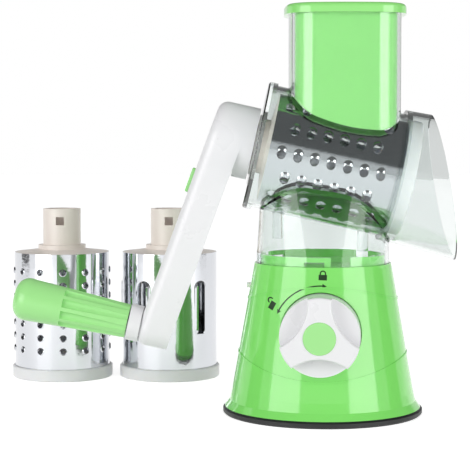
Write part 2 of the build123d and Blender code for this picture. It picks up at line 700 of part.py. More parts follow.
chamber = turned([(CHAMBER_START, 0), (CHAMBER_START, FLANGE_R - 1), (CHAMBER_START + 1, FLANGE_R),
                  (CHAMBER_START + FLANGE_T, FLANGE_R), (CHAMBER_START + FLANGE_T, CHAMBER_R),
                  (CHAMBER_END, CHAMBER_R), (CHAMBER_END, 0)], LEVEL, DRUM_AXIS)
bore = turned([(CHAMBER_START + END_WALL, 0), (CHAMBER_START + END_WALL, BORE_R),
               (CHAMBER_END + SPOUT_R, BORE_R), (CHAMBER_END + SPOUT_R, 0)], LEVEL, DRUM_AXIS)
chute_outer = chute_section(0)
chute_inner = chute_section(-CHUTE_WALL)

SPOUT_FLARE = (SPOUT_END_R - SPOUT_R) / (MOUTH_LOW - SPOUT_START)
MOUTH_END = MOUTH_LOW + CUT_PAST
mouth_r = SPOUT_R + SPOUT_FLARE * (MOUTH_END - SPOUT_START)
spout_room = turned([(SPOUT_START - CURVE_GAP, CHAMBER_R), (SPOUT_START - CURVE_GAP, SPOUT_R + CURVE_GAP),
                     (MOUTH_END, mouth_r + CURVE_GAP), (MOUTH_END, 0), (CHAMBER_END, 0),
                     (CHAMBER_END, CHAMBER_R)], LEVEL, DRUM_AXIS)

with BuildPart() as housing_body:
    # neck: round where it drops over the collar, rounded square where it meets the chamber
    with BuildSketch(Plane.XY.offset(NECK_LOW_Z)):
        Circle(NECK_LOW_R)
    extrude(amount=NECK_WAIST_Z - NECK_LOW_Z)
    with BuildSketch(Plane.XY.offset(NECK_WAIST_Z)):
        RectangleRounded(2 * NECK_LOW_R, 2 * NECK_LOW_R, NECK_LOW_R - NEARLY_ROUND)
    with BuildSketch(Plane.XY.offset(NECK_TOP_Z)):
        RectangleRounded(NECK_TOP_W, NECK_TOP_D, NECK_CORNER)
    loft()
    with BuildSketch(Plane.XY.offset(NECK_LOW_Z)):
        Circle(NECK_LOW_R - SHELL)
    extrude(amount=NECK_WAIST_Z - NECK_LOW_Z, mode=Mode.SUBTRACT)
    with BuildSketch(Plane.XY.offset(NECK_WAIST_Z)):
        inside_r = NECK_LOW_R - SHELL
        RectangleRounded(2 * inside_r, 2 * inside_r, inside_r - NEARLY_ROUND)
    with BuildSketch(Plane.XY.offset(NECK_TOP_Z)):
        RectangleRounded(NECK_TOP_W - 2 * SHELL, NECK_TOP_D - 2 * SHELL, NECK_CORNER - SHELL)
    loft(mode=Mode.SUBTRACT)
    for x, low in ((POST_LEFT_X, POST_LEFT_Z), (POST_RIGHT_X, POST_RIGHT_Z)):
        with BuildSketch(Plane.XY.offset(low)):
            with Locations((x, 0)):
                Circle(POST_R)
        extrude(amount=AXIS_Z - low)
    # chamber, and the chute down into it
    add(chamber)
    with BuildSketch(Plane.XY.offset(AXIS_Z)):
        add(chute_outer)
    extrude(amount=CHUTE_TOP_Z - AXIS_Z)
    with BuildSketch(Plane.XY.offset(AXIS_Z)):
        add(chute_inner)
    extrude(amount=CHUTE_TOP_Z - AXIS_Z, mode=Mode.SUBTRACT)
    add(bore, mode=Mode.SUBTRACT)
    add(spout_room, mode=Mode.SUBTRACT)
    with BuildSketch(across(CHAMBER_START)):
        Circle(HUB_R + RUN_GAP + BUSH_WALL)
    extrude(amount=END_WALL, mode=Mode.SUBTRACT)
    # bayonet lugs, and the notch that the catch's tongue holds
    with BuildSketch(Plane.XY.offset(LUG_Z)):
        with PolarLocations((COLLAR_R - COLLAR_WALL + NECK_LOW_R) / 2, 3, start_angle=LUG_ANGLE):
            Rectangle(NECK_LOW_R - COLLAR_R + COLLAR_WALL - 1, LUG_W)
    extrude(amount=LUG_H)
    with BuildSketch(Plane.XY.offset(NECK_LOW_Z)):
        with Locations((-NECK_LOW_R, 0)):
            Rectangle(4 * SHELL, CATCH_W - 1)
    extrude(amount=TONGUE_TOP_Z + SLIDE_GAP - NECK_LOW_Z, mode=Mode.SUBTRACT)
save(housing_body.part, "housing_body")

with BuildPart() as discharge_spout:
    add(turned([(SPOUT_START, CHAMBER_R + RUN_GAP), (SPOUT_START, SPOUT_R), (MOUTH_END, mouth_r),
                (MOUTH_END, mouth_r - SHELL), (CHAMBER_END, CHAMBER_R + RUN_GAP)], SIDE, DRUM_AXIS))
    with BuildSketch(SIDE):
        with BuildLine():
            Polyline((MOUTH_TOP, SPOUT_END_R), (MOUTH_LOW, -SPOUT_END_R),
                     (MOUTH_LOW + MOUTH_OVER, -SPOUT_END_R - CUT_PAST),
                     (2 * MOUTH_LOW, -SPOUT_END_R - CUT_PAST), (2 * MOUTH_LOW, SPOUT_END_R + CUT_PAST),
                     (MOUTH_TOP - MOUTH_OVER, SPOUT_END_R + CUT_PAST), close=True)
        make_face()
    extrude(amount=2 * SPOUT_R, both=True, mode=Mode.SUBTRACT)
save(discharge_spout.part, "discharge_spout")

save(turned([(CHAMBER_START - BUSH_FLANGE_T, HUB_R + RUN_GAP), (CHAMBER_START - BUSH_FLANGE_T, BUSH_FLANGE_R),
             (CHAMBER_START, BUSH_FLANGE_R), (CHAMBER_START, HUB_R + RUN_GAP + BUSH_WALL),
             (CHAMBER_START + END_WALL, HUB_R + RUN_GAP + BUSH_WALL),
             (CHAMBER_START + END_WALL, HUB_R + RUN_GAP)], SIDE, DRUM_AXIS), "hub_bush")

# ---------------------------------------------------------------- pusher

PUSHER_LOW_R = DRUM_R + TOOTH_PROUD + PUSHER_OVER_DRUM
pusher_outer = chute_section(-CHUTE_WALL - PUSHER_GAP)
pusher_inner = chute_section(-CHUTE_WALL - PUSHER_GAP - PUSHER_WALL)
pusher_rim = chute_section(RIM_OVER)
RIM_Z = CHUTE_TOP_Z + REST_GAP


def under_pusher(radius):
    """A long cylinder about the drum's axis."""
    return turned([(-2 * CHUTE_W, 0), (-2 * CHUTE_W, radius), (2 * CHUTE_W, radius), (2 * CHUTE_W, 0)],
                  LEVEL, DRUM_AXIS)


with BuildPart() as pusher_hollow:
    with BuildSketch(Plane.XY.offset(AXIS_Z)):
        add(pusher_inner)
    extrude(amount=RIM_Z + RIM_H - AXIS_Z + 1)
    add(under_pusher(PUSHER_LOW_R + PUSHER_WALL), mode=Mode.SUBTRACT)

with BuildPart() as food_pusher:
    with BuildSketch(Plane.XY.offset(RIM_Z)):
        add(pusher_rim)
    extrude(amount=RIM_H)
    fillet(food_pusher.faces().sort_by(Axis.Z)[-1].edges(), radius=RIM_ROUND)
    with BuildSketch(Plane.XY.offset(AXIS_Z)):
        add(pusher_outer)
    extrude(amount=RIM_Z - AXIS_Z)
    add(under_pusher(PUSHER_LOW_R), mode=Mode.SUBTRACT)
    add(pusher_hollow.part, mode=Mode.SUBTRACT)
save(food_pusher.part, "food_pusher")

# ---------------------------------------------------------------- drums

DRUM_STAND = Plane(origin=CENTRE + ALONG * DRUM_PLACE, x_dir=-AWAY, z_dir=-ALONG)
SHEET_IN_R = DRUM_R - SHEET
FRONT = 90.0  # where a drum faces the knob's side


def drum_profile(stand, points):
    """A body of revolution standing on a drum's plane."""
    with BuildPart() as body:
        with BuildSketch(Plane(origin=stand.origin, x_dir=stand.x_dir, z_dir=-stand.y_dir)):
            with BuildLine():
                Polyline(*points, close=True)
            make_face()
        revolve(axis=Axis(stand.origin, stand.z_dir))
    return body.part


def drum_ring(stand):
    """The ring that the drum runs and stands on, grooved for the sheet's edge."""
    return drum_profile(stand, [(RING_R - RING_WALL, 0), (RING_R - RING_EDGE, 0), (RING_R, RING_EDGE),
                                (RING_R, RING_H - RING_EDGE),
                                (RING_R - RING_EDGE, RING_H), (DRUM_R + RUN_GAP, RING_H),
                                (DRUM_R + RUN_GAP, SHEET_LOW),
                                (SHEET_IN_R - RUN_GAP, SHEET_LOW), (SHEET_IN_R - RUN_GAP, RING_H),
                                (RING_R - RING_WALL, RING_H)])


def drum_hub(stand):
    """The end cap with its hollow hub, the latch's window and two slots for the crank's keys."""
    cap_r = SHEET_IN_R - RUN_GAP
    bore_r = HUB_R - HUB_WALL
    with BuildPart() as hub:
        add(drum_profile(stand, [(0, DRUM_TOP - CAP_T), (cap_r, DRUM_TOP - CAP_T), (cap_r, DRUM_TOP),
                                 (SHOULDER_R, CAP_TOP), (SHOULDER_R, SHOULDER_TOP), (HUB_R, SHOULDER_TOP),
                                 (HUB_R, HUB_TOP), (bore_r, HUB_TOP), (bore_r, DRUM_TOP), (0, DRUM_TOP)]))
        with BuildSketch(stand.offset(HUB_TOP - WINDOW_TOP)):
            with Locations((HUB_R, 0)):
                Rectangle(2 * HUB_WALL + 2, WINDOW)
        extrude(amount=-WINDOW, mode=Mode.SUBTRACT)
        with BuildSketch(stand.offset(HUB_TOP)):
            Rectangle(KEY_W, 3 * HUB_R)
        extrude(amount=-KEY_H, mode=Mode.SUBTRACT)
    return hub.part


def drum_tube(stand, bumps, holes):
    """The sheet cylinder: bumps are fused on, then it is bored, then the holes are cut."""
    with BuildPart() as tube:
        with BuildSketch(stand.offset(SHEET_LOW)):
            Circle(DRUM_R)
        extrude(amount=DRUM_TOP - SHEET_LOW)
        add(bumps)
        with BuildSketch(stand):
            Circle(SHEET_IN_R)
        extrude(amount=2 * DRUM_TOP, mode=Mode.SUBTRACT)
        add(holes, mode=Mode.SUBTRACT)
    return tube.part


def radial(stand, angle, height):
    """Plane on a drum's surface, z outwards, y up the drum."""
    turn = math.radians(angle)
    outwards = stand.x_dir * math.cos(turn) + stand.y_dir * math.sin(turn)
    sideways = stand.x_dir * -math.sin(turn) + stand.y_dir * math.cos(turn)
    origin = stand.origin + stand.z_dir * height + outwards * DRUM_R
    return Plane(origin=origin, x_dir=sideways, z_dir=outwards)


def nubs(stand, spots, radius, proud, hole_r, hole_aside):
    """Pressed-up nubs, and the hole that opens each one on its cutting side."""
    bumps = []
    holes = []
    for angle, height in spots:
        bumps.append(radial(stand, angle, height).offset(proud - radius).location * Sphere(radius))
        opening = radial(stand, angle - math.degrees(hole_aside / DRUM_R), height).offset(-hole_r)
        holes.append(opening.location * Cylinder(hole_r, 4 * hole_r))
    return bumps, holes


def slices(stand):
    """Raised blades that lean round the drum, and the slot under each one's edge."""
    bumps = []
    holes = []
    bar_r = BAR_OVER * SLOT_W
    for number in range(SLOTS):
        face = radial(stand, FRONT + SLOT_TURN + 360 / SLOTS * number, (SHEET_LOW + DRUM_TOP) / 2 + SLOT_UP)
        leaning = face.offset(BLADE_RISE - bar_r).rotated((0, 0, SLOT_LEAN))
        bar = leaning.location * Rotation(90, 0, 0) * Cylinder(bar_r, SLOT_LEN - 2 * bar_r)
        bumps.append(bar)
        for end in (-1, 1):
            bumps.append(leaning.location * Pos(0, end * (SLOT_LEN / 2 - bar_r), 0) * Sphere(bar_r))
        holes.append(leaning.location * Pos(-SLOT_W / 2, 0, 0) * Box(SLOT_W, SLOT_LEN - bar_r, 4 * bar_r))
    return bumps, holes


coarse_spots = [(FRONT + 360 / TOOTH_ROWS * row, TOOTH_FIRST + TOOTH_PITCH * (place + row % 2 / 2))
                for row in range(TOOTH_ROWS) for place in range(TOOTH_PER_ROW - row % 2)]
grater_spots = [(FRONT + 360 / GRATER_ROWS * row, GRATER_FIRST + GRATER_PITCH * place)
                for row in range(GRATER_ROWS) for place in range(GRATER_PER_ROW)]

spare_stands = {name: Plane(origin=(x, y, 0), x_dir=(0, -1, 0), z_dir=(0, 0, 1))
                for name, (x, y) in SPARE_PLACES.items()}
grater = spare_stands["spare_grater"]
slicer = spare_stands["spare_slicer"]

save(drum_tube(DRUM_STAND, *nubs(DRUM_STAND, coarse_spots, TOOTH_R, TOOTH_PROUD, TOOTH_HOLE_R, TOOTH_TIP_R)),
     "drum_cylinder")
save(drum_tube(grater, *nubs(grater, grater_spots, GRATER_R, GRATER_PROUD, GRATER_HOLE_R, 0)),
     "spare_grater_cylinder")
save(drum_tube(slicer, *slices(slicer)), "spare_slicer_cylinder")
for prefix, stand in (("drum", DRUM_STAND), ("spare_grater", grater), ("spare_slicer", slicer)):
    save(drum_ring(stand), f"{prefix}_ring")
    save(drum_hub(stand), f"{prefix}_hub")

# ---------------------------------------------------------------- crank

SLANT = math.radians(ARM_SLANT)
DOWN_ARM = ALONG * -math.sin(SLANT) + AWAY * -math.cos(SLANT)
OUT_OF_ARM = ALONG * -math.cos(SLANT) + AWAY * math.sin(SLANT)
ARM_PLANE = Plane(origin=CENTRE + ALONG * ARM_OUT, x_dir=DOWN_ARM, z_dir=OUT_OF_ARM)
PARTING_PLANE = Plane(origin=ARM_PLANE.origin - OUT_OF_ARM * (ARM_T - PARTING), x_dir=DOWN_ARM,
                      z_dir=OUT_OF_ARM)
ARM_IN = ARM_OUT + ARM_T / math.cos(SLANT)
GRIP_CENTRE = CENTRE - AWAY * CRANK_THROW
GRIP_AXIS = Axis(GRIP_CENTRE, ALONG)
GRIP_SIDE = Plane(origin=GRIP_CENTRE, x_dir=ALONG, z_dir=(0, -1, 0))
FOOT_IN = ARM_IN - CRANK_THROW * math.tan(SLANT)
HEAD_SEAT = FOOT_IN - ARM_WALL - SPINDLE_HEAD_T
SOCKET_R = HUB_R + RUN_GAP
SOCKET_END = ARM_OUT + ARM_WALL + 3
SOCKET_OUT_R = SOCKET_R + SOCKET_WALL


def arm_t(face, away):
    """Where a slanted face of the arm stands along the drum's axis, this far from the axis."""
    return face + away * math.tan(SLANT)


def foot(t):
    """Plane square to the grip's axis."""
    return Plane(origin=GRIP_CENTRE + ALONG * t, x_dir=AWAY, z_dir=ALONG)


def crank_form(inset):
    """The crank's outer form, or the space inside walls of the given thickness."""
    top = 2 * CRANK_HUB_R
    low = -2 * CRANK_THROW
    out = ARM_OUT + inset / math.cos(SLANT)
    inn = ARM_IN - inset / math.cos(SLANT)
    with BuildPart() as form:
        with BuildSketch(SIDE):
            with BuildLine():
                Polyline((arm_t(out, top), top), (arm_t(inn, top), top), (arm_t(inn, low), low),
                         (arm_t(out, low), low), close=True)
            make_face()
        extrude(amount=2 * CRANK_HUB_R, both=True)
        with BuildSketch(across(2 * ARM_OUT)):
            Circle(CRANK_HUB_R - inset)
            with Locations((-CRANK_THROW, 0)):
                Circle(ARM_FOOT_R - inset)
            make_hull()
        extrude(amount=CRANK_FACE - 2 * ARM_OUT - inset, mode=Mode.INTERSECT)
        fillet(form.faces().sort_by(Axis(CENTRE, ARM_PLANE.z_dir))[-1].edges(), radius=ARM_ROUND - inset)
        with BuildSketch(across(CRANK_FACE - inset)):
            Circle(CRANK_HUB_R - inset)
        extrude(amount=ARM_IN - CRANK_FACE - ARM_WALL)
    return form.part


def down_arm(out):
    """Plane over the arm's outer face: x down the arm, z out of it."""
    return ARM_PLANE.offset(out)


crank_outside = crank_form(0)
crank_space = crank_form(ARM_WALL)

SLIDER_OUT = -ARM_WALL - SLIDE_GAP
SLIDER_IN = SLIDER_OUT - LATCH_T
BUTTON_END = BUTTON_START + BUTTON_LEN
HUB_END_T = DRUM_PLACE - HUB_TOP
WINDOW_T = HUB_END_T + WINDOW_TOP + WINDOW / 2
HOOK_OUT = (ARM_OUT - WINDOW_T) * math.cos(SLANT) - HUB_R * math.sin(SLANT) + HOOK_ASIDE
HOOK_TOP = (WINDOW_T - ARM_OUT) * -math.sin(SLANT) + (HUB_R - LATCH_REACH) * math.cos(SLANT)
HOOK_LOW = SOCKET_OUT_R + SLIDE_GAP + LATCH_TRAVEL
SPRING_START = BUTTON_END + LATCH_TRAVEL + 1
SPRING_MID = SLIDER_OUT - LATCH_T / 2

with BuildPart() as crank_hollow:
    add(crank_space)
    # column that carries the grip's spindle, and the screws' posts
    with BuildSketch(foot(FOOT_FACE)):
        Circle(ARM_FOOT_R - ARM_WALL - 1)
    extrude(amount=CRANK_FACE - FOOT_FACE, mode=Mode.SUBTRACT)
    with BuildSketch(down_arm(0)):
        with Locations(*[(place, 0) for place in CRANK_SCREWS]):
            Circle(CRANK_POST_R)
    extrude(amount=-ARM_T, mode=Mode.SUBTRACT)

with BuildPart() as crank_socket:
    with BuildSketch(across(SOCKET_END)):
        Circle(SOCKET_OUT_R)
    extrude(amount=CRANK_FACE - SOCKET_END)

with BuildPart() as socket_space:
    with BuildSketch(across(SOCKET_END)):
        Circle(SOCKET_R)
    extrude(amount=CRANK_FACE - SOCKET_END + 1)
    # keys that drive the drum's hub
    with BuildSketch(across(SOCKET_END)):
        Rectangle(KEY_W - 2 * RUN_GAP, 4 * HUB_R)
        Circle(HUB_R - HUB_WALL, mode=Mode.SUBTRACT)
    extrude(amount=HUB_END_T + KEY_H - RUN_GAP - SOCKET_END, mode=Mode.SUBTRACT)

with BuildPart() as hook_way:
    with BuildSketch(down_arm(SLIDER_IN)):
        with Locations(((HOOK_LOW + HOOK_TOP) / 2, 0)):
            Rectangle(HOOK_LOW - HOOK_TOP + 2 * (LATCH_TRAVEL + LATCH_T), LATCH_W + 2 * SLIDE_GAP)
    extrude(amount=HOOK_OUT - LATCH_T / 2 - 2 * SLIDE_GAP - SLIDER_IN)

with BuildPart() as spindle_space:
    add(turned([(FOOT_FACE - 1, 0), (FOOT_FACE - 1, SPINDLE_R + RUN_GAP), (HEAD_SEAT, SPINDLE_R + RUN_GAP),
                (HEAD_SEAT, SPINDLE_HEAD_R + CURVE_GAP), (CRANK_FACE, SPINDLE_HEAD_R + CURVE_GAP),
                (CRANK_FACE, 0)], GRIP_SIDE, GRIP_AXIS))

with BuildPart() as crank_inner_shell:
    add(crank_outside)
    add(crank_hollow.part, mode=Mode.SUBTRACT)
    split(bisect_by=PARTING_PLANE, keep=Keep.BOTTOM)
    add(crank_socket.part)
    add(socket_space.part, mode=Mode.SUBTRACT)
    add(hook_way.part, mode=Mode.SUBTRACT)
    add(spindle_space.part, mode=Mode.SUBTRACT)
    with BuildSketch(down_arm(-ARM_T)):
        with Locations(*[(place, 0) for place in CRANK_SCREWS]):
            Circle(CRANK_SCREW_HEAD_R + CURVE_GAP)
    extrude(amount=CRANK_SCREW_HEAD_T + SINK, mode=Mode.SUBTRACT)
    with BuildSketch(down_arm(-ARM_T)):
        with Locations(*[(place, 0) for place in CRANK_SCREWS]):
            Circle(CRANK_SCREW_R + RUN_GAP)
    extrude(amount=ARM_T, mode=Mode.SUBTRACT)
save(crank_inner_shell.part, "crank_inner_shell")

with BuildPart() as crank_outer_shell:
    add(crank_outside)
    add(crank_hollow.part, mode=Mode.SUBTRACT)
    split(bisect_by=PARTING_PLANE, keep=Keep.TOP)
    with BuildSketch(foot(FOOT_FACE)):
        Circle(ARM_FOOT_R - 1)
    extrude(amount=8)
    # seat for the latch's spring, slot for its button
    with BuildSketch(down_arm(0)):
        with Locations((SPRING_START + LATCH_SPRING_LEN + ARM_WALL / 2, 0)):
            Rectangle(ARM_WALL, 2 * LATCH_W)
    extrude(amount=SLIDER_IN - ARM_WALL / 2)
    with BuildSketch(down_arm(BUTTON_PROUD)):
        with Locations(((BUTTON_START + BUTTON_END + LATCH_TRAVEL) / 2, 0)):
            Rectangle(BUTTON_LEN + LATCH_TRAVEL + 2 * SLIDE_GAP, BUTTON_W + 2 * SLIDE_GAP)
    extrude(amount=-BUTTON_PROUD - ARM_WALL - 2 * SLIDE_GAP, mode=Mode.SUBTRACT)
    add(spindle_space.part, mode=Mode.SUBTRACT)
    with BuildSketch(down_arm(-ARM_T)):
        with Locations(*[(place, 0) for place in CRANK_SCREWS]):
            Circle(CRANK_SCREW_R)
    extrude(amount=ARM_T - ARM_WALL, mode=Mode.SUBTRACT)
save(crank_outer_shell.part, "crank_outer_shell")

with BuildPart() as crank_screws:
    with BuildSketch(down_arm(-ARM_T + SINK)):
        with Locations(*[(place, 0) for place in CRANK_SCREWS]):
            Circle(CRANK_SCREW_HEAD_R)
    extrude(amount=CRANK_SCREW_HEAD_T)
    with BuildSketch(down_arm(-ARM_T + SINK)):
        with Locations(*[(place, 0) for place in CRANK_SCREWS]):
            Circle(CRANK_SCREW_R)
    extrude(amount=ARM_T - ARM_WALL - SCREW_SHORT)
    with BuildSketch(down_arm(-ARM_T + SINK)):
        with Locations(*[(place, 0) for place in CRANK_SCREWS]):
            Rectangle(CROSS_LEN, CROSS_W)
            Rectangle(CROSS_W, CROSS_LEN)
    extrude(amount=CRANK_SCREW_HEAD_T / 2, mode=Mode.SUBTRACT)
save(crank_screws.part, "crank_screws")

# ---------------------------------------------------------------- latch that holds the drum's hub

with BuildPart() as latch_slider:
    with BuildSketch(down_arm(SLIDER_OUT)):
        with Locations(((HOOK_LOW + SPRING_START) / 2, 0)):
            Rectangle(SPRING_START - HOOK_LOW, LATCH_W)
    extrude(amount=-LATCH_T)
    with BuildSketch(down_arm(SLIDER_OUT)):
        with Locations((HOOK_LOW + LATCH_T / 2, 0)):
            Rectangle(LATCH_T, LATCH_W)
    extrude(amount=HOOK_OUT - LATCH_T / 2 - SLIDER_OUT)
    with BuildSketch(down_arm(HOOK_OUT + LATCH_T / 2)):
        with Locations(((HOOK_TOP + HOOK_LOW) / 2 + SINK, 0)):
            Rectangle(HOOK_LOW - HOOK_TOP + 1, LATCH_W)
    extrude(amount=-LATCH_T)
save(latch_slider.part, "latch_slider")

with BuildPart() as release_button:
    with BuildSketch(down_arm(SLIDER_OUT)):
        with Locations(((BUTTON_START + BUTTON_END) / 2, 0)):
            RectangleRounded(BUTTON_LEN, BUTTON_W, BUTTON_CORNER)
    extrude(amount=BUTTON_PROUD - SLIDER_OUT)
    pressed_face = release_button.faces().sort_by(Axis(ARM_PLANE.origin, ARM_PLANE.z_dir))[-1]
    fillet(pressed_face.edges(), radius=BUTTON_SOFT)
save(release_button.part, "release_button")

latch_spring_foot = down_arm(SPRING_MID).origin + DOWN_ARM * (SPRING_START + END_GAP)
latch_spring_seat = Plane(origin=latch_spring_foot, x_dir=(0, 1, 0),
                          z_dir=DOWN_ARM)
save(coil(latch_spring_seat, LATCH_SPRING_R, LATCH_SPRING_LEN - 2 * END_GAP, LATCH_SPRING_TURNS,
          LATCH_SPRING_WIRE_R), "latch_spring")

# ---------------------------------------------------------------- grip and its spindle

GRIP_START = FOOT_FACE - GRIP_GAP
SPINDLE_END = GRIP_END + GRIP_ROUND

save(turned([(SPINDLE_END, 0), (SPINDLE_END, SPINDLE_R), (HEAD_SEAT, SPINDLE_R),
             (HEAD_SEAT, SPINDLE_HEAD_R), (HEAD_SEAT + SPINDLE_HEAD_T, SPINDLE_HEAD_R),
             (HEAD_SEAT + SPINDLE_HEAD_T, 0)], GRIP_SIDE, GRIP_AXIS), "grip_spindle")

with BuildPart() as grip:
    with BuildSketch(GRIP_SIDE) as grip_half:
        with BuildLine():
            Polyline((GRIP_START, 0), (GRIP_START, GRIP_NECK_R), (GRIP_END + GRIP_ROUND, GRIP_WIDE_R),
                     (GRIP_END, GRIP_WIDE_R), (GRIP_END, 0), close=True)
        make_face()
        fillet(grip_half.vertices().group_by(Axis.X)[0].sort_by(Axis.Z)[-1], radius=GRIP_ROUND)
    revolve(axis=GRIP_AXIS)
    with BuildSketch(foot(SPINDLE_END)):
        Circle(SPINDLE_R + RUN_GAP / 2)
    extrude(amount=GRIP_START - SPINDLE_END, mode=Mode.SUBTRACT)
    # shallow flutes along the half nearest the crank
    with BuildSketch(foot(FLUTE_END)):
        with PolarLocations(GRIP_NECK_R + FLUTE_R - FLUTE_DEEP, FLUTES):
            Circle(FLUTE_R)
    extrude(amount=GRIP_START - FLUTE_END, mode=Mode.SUBTRACT)
save(grip.part, "grip")
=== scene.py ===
"""Looks of the hand-cranked rotary drum grater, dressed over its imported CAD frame.

Every CAD piece keeps its shape and gets a moulded, turned or pressed finish. The printed marks
round the suction knob, which have no thickness worth a solid, are thin skins made here.
"""

import math

import bmesh
import bpy
from mathutils import Matrix


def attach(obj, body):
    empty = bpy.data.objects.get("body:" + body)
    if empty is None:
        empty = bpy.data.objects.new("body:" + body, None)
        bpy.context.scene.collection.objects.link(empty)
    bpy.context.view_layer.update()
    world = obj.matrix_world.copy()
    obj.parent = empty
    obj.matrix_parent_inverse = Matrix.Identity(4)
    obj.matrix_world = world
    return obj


bl_info = {
    "name": "Rotary Drum Grater",
    "version": (1, 0, 0),
    "blender": (4, 5, 0),
    "location": "View3D > Sidebar > Grater",
    "description": "Dresses a hand-cranked drum grater and sets its studio",
    "category": "Object",
}

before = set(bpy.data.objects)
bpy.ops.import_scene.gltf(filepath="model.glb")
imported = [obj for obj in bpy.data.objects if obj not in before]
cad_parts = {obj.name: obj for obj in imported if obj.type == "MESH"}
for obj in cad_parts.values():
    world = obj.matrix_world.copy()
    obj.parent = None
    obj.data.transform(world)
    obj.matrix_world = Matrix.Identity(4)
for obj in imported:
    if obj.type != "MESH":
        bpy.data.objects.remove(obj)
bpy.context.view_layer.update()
MM = 0.001

# The base's cone and the knob on it, in millimetres and degrees, as the CAD has them.
CONE_TOP_R = 45.2
CONE_TOP_Z = 99.6
CONE_SLOPE = (60.1 - 45.2) / (99.6 - 15.2)
KNOB_Z = 58.0
KNOB_SWING = 4.7

# What polished metal mirrors besides the softboxes: a pale horizon, a dark ceiling from this height of the sky
# up, and a dark card to each side.
MIRROR_PALE = 0.8
DARK_FROM = 0.2
DARK_CEILING = 0.15
MIRROR_EDGE = 0.08
CARD_REACH = 1.3
CARD_BEHIND = 0.2
CARD_WIDTH = 0.55
CARD_TALL = 1.6

# The floor runs this far each way, in metres, and glows so that it looks as white as the surround.
FLOOR_HALF = 6.0
FLOOR_GLOW = 0.66

# The photograph's viewpoint, in metres and degrees below level.
CAMERA_AT = (-0.0581, -1.033, 0.1838)
CAMERA_DIP = 3.67

# The softboxes, in metres: low and tall enough for an unbroken stripe on the cone and on the chute.
SOFTBOXES = (("Softbox left", -51, 0.80), ("Softbox right", 49, 0.76))  # name, degrees from the camera, width
SOFTBOX_TALL = 0.72
SOFTBOX_REACH = 1.1
SOFTBOX_Z = 0.34

# The printed marks: angles are counted from the right, round the knob.
LOCK_AT = 88.0
RELEASE_AT = 152.0
SIGN_REACH = 35.5
ARC_STEPS = 24
HEAD_LINES = 3.4  # length of an arrow head in widths of the line
INK_LIFT = 0.06  # of the ink's outer face over the cone
INK_T = 0.06

# A padlock sign's parts, as shares of its height, and how far the open shackle swings in shackle radii.
LOCK_BODY = 0.55
LOCK_WIDTH = 0.85
SHACKLE_R = 0.26
SHACKLE_LEG = 0.12
SHACKLE_ASIDE = 1.5

# ---------------------------------------------------------------- shared helpers


def linear(code):
    """An sRGB hex colour as linear red, green, blue and alpha."""
    channels = [int(code[place:place + 2], 16) / 255 for place in (1, 3, 5)]
    return [c / 12.92 if c <= 0.04045 else ((c + 0.055) / 1.055) ** 2.4 for c in channels] + [1.0]


def hex_of(colour):
    """The colour of a panel's swatch as linear red, green, blue and alpha."""
    return [*colour[:3], 1.0]


def add_node(tree, kind, settings=None, **inputs):
    """A shader node with its settings, its inputs set or linked by socket name, or as i and a number."""
    made = tree.nodes.new(kind)
    for name, value in (settings or {}).items():
        setattr(made, name, value)
    for name, value in inputs.items():
        numbered = name[0] == "i" and name[1:].isdigit()
        socket = made.inputs[int(name[1:]) if numbered else name.replace("_", " ")]
        if isinstance(value, bpy.types.NodeSocket):
            tree.links.new(value, socket)
        else:
            socket.default_value = value
    return made


def new_material(name):
    """An empty material with its output and the piece's own coordinates in metres."""
    material = bpy.data.materials.new(name)
    material.use_nodes = True
    tree = material.node_tree
    tree.nodes.clear()
    output = add_node(tree, "ShaderNodeOutputMaterial")
    place = add_node(tree, "ShaderNodeTexCoord").outputs["Object"]
    return material, tree, output, place


def finish_surface(tree, output, shader):
    """Joins a shader to the material's output."""
    tree.links.new(shader.outputs[0], output.inputs["Surface"])


def mottled(tree, place, colour, size_mm, spread):
    """A colour that drifts a little lighter and darker over patches of a real size."""
    noise = add_node(tree, "ShaderNodeTexNoise", Vector=place, Scale=1 / (size_mm * MM), Detail=3.0)
    darker = [c * (1 - spread) for c in colour[:3]] + [1.0]
    lighter = [min(1.0, c * (1 + spread)) for c in colour[:3]] + [1.0]
    mix = add_node(tree, "ShaderNodeMix", {"data_type": "RGBA"}, i0=noise.outputs["Fac"], i6=darker, i7=lighter)
    return mix.outputs[2]


def skin_bump(tree, place, size_mm, depth_mm, strength=0.3):
    """The fine waviness that a moulded or rolled skin has."""
    noise = add_node(tree, "ShaderNodeTexNoise", Vector=place, Scale=1 / (size_mm * MM), Detail=2.0)
    return add_node(tree, "ShaderNodeBump", Strength=strength, Distance=depth_mm * MM,
                    Height=noise.outputs["Fac"]).outputs["Normal"]


def rough_from(tree, place, size_mm, low, high):
    """Roughness that wanders between two values over patches of a real size."""
    noise = add_node(tree, "ShaderNodeTexNoise", Vector=place, Scale=1 / (size_mm * MM), Detail=4.0)
    return add_node(tree, "ShaderNodeMapRange", Value=noise.outputs["Fac"], To_Min=low,
                    To_Max=high).outputs["Result"]


def dress(material, *names):
    """Gives CAD nodes their finish."""
    for name in names:
        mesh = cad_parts[name].data
        mesh.materials.clear()
        mesh.materials.append(material)


# ---------------------------------------------------------------- finishes


def moulded_abs(name, colour, rough, coat):
    """Glossy ABS: smooth from a polished mould, a little wavy, with a clear hard highlight."""
    material, tree, output, place = new_material(name)
    shader = add_node(tree, "ShaderNodeBsdfPrincipled", Base_Color=mottled(tree, place, colour, 30, 0.01),
                      Roughness=rough_from(tree, place, 25, rough * 0.9, rough * 1.1),
                      Normal=skin_bump(tree, place, 14, 0.01, 0.1), IOR=1.53, Coat_Weight=coat,
                      Coat_Roughness=0.05)
    finish_surface(tree, output, shader)
    return material


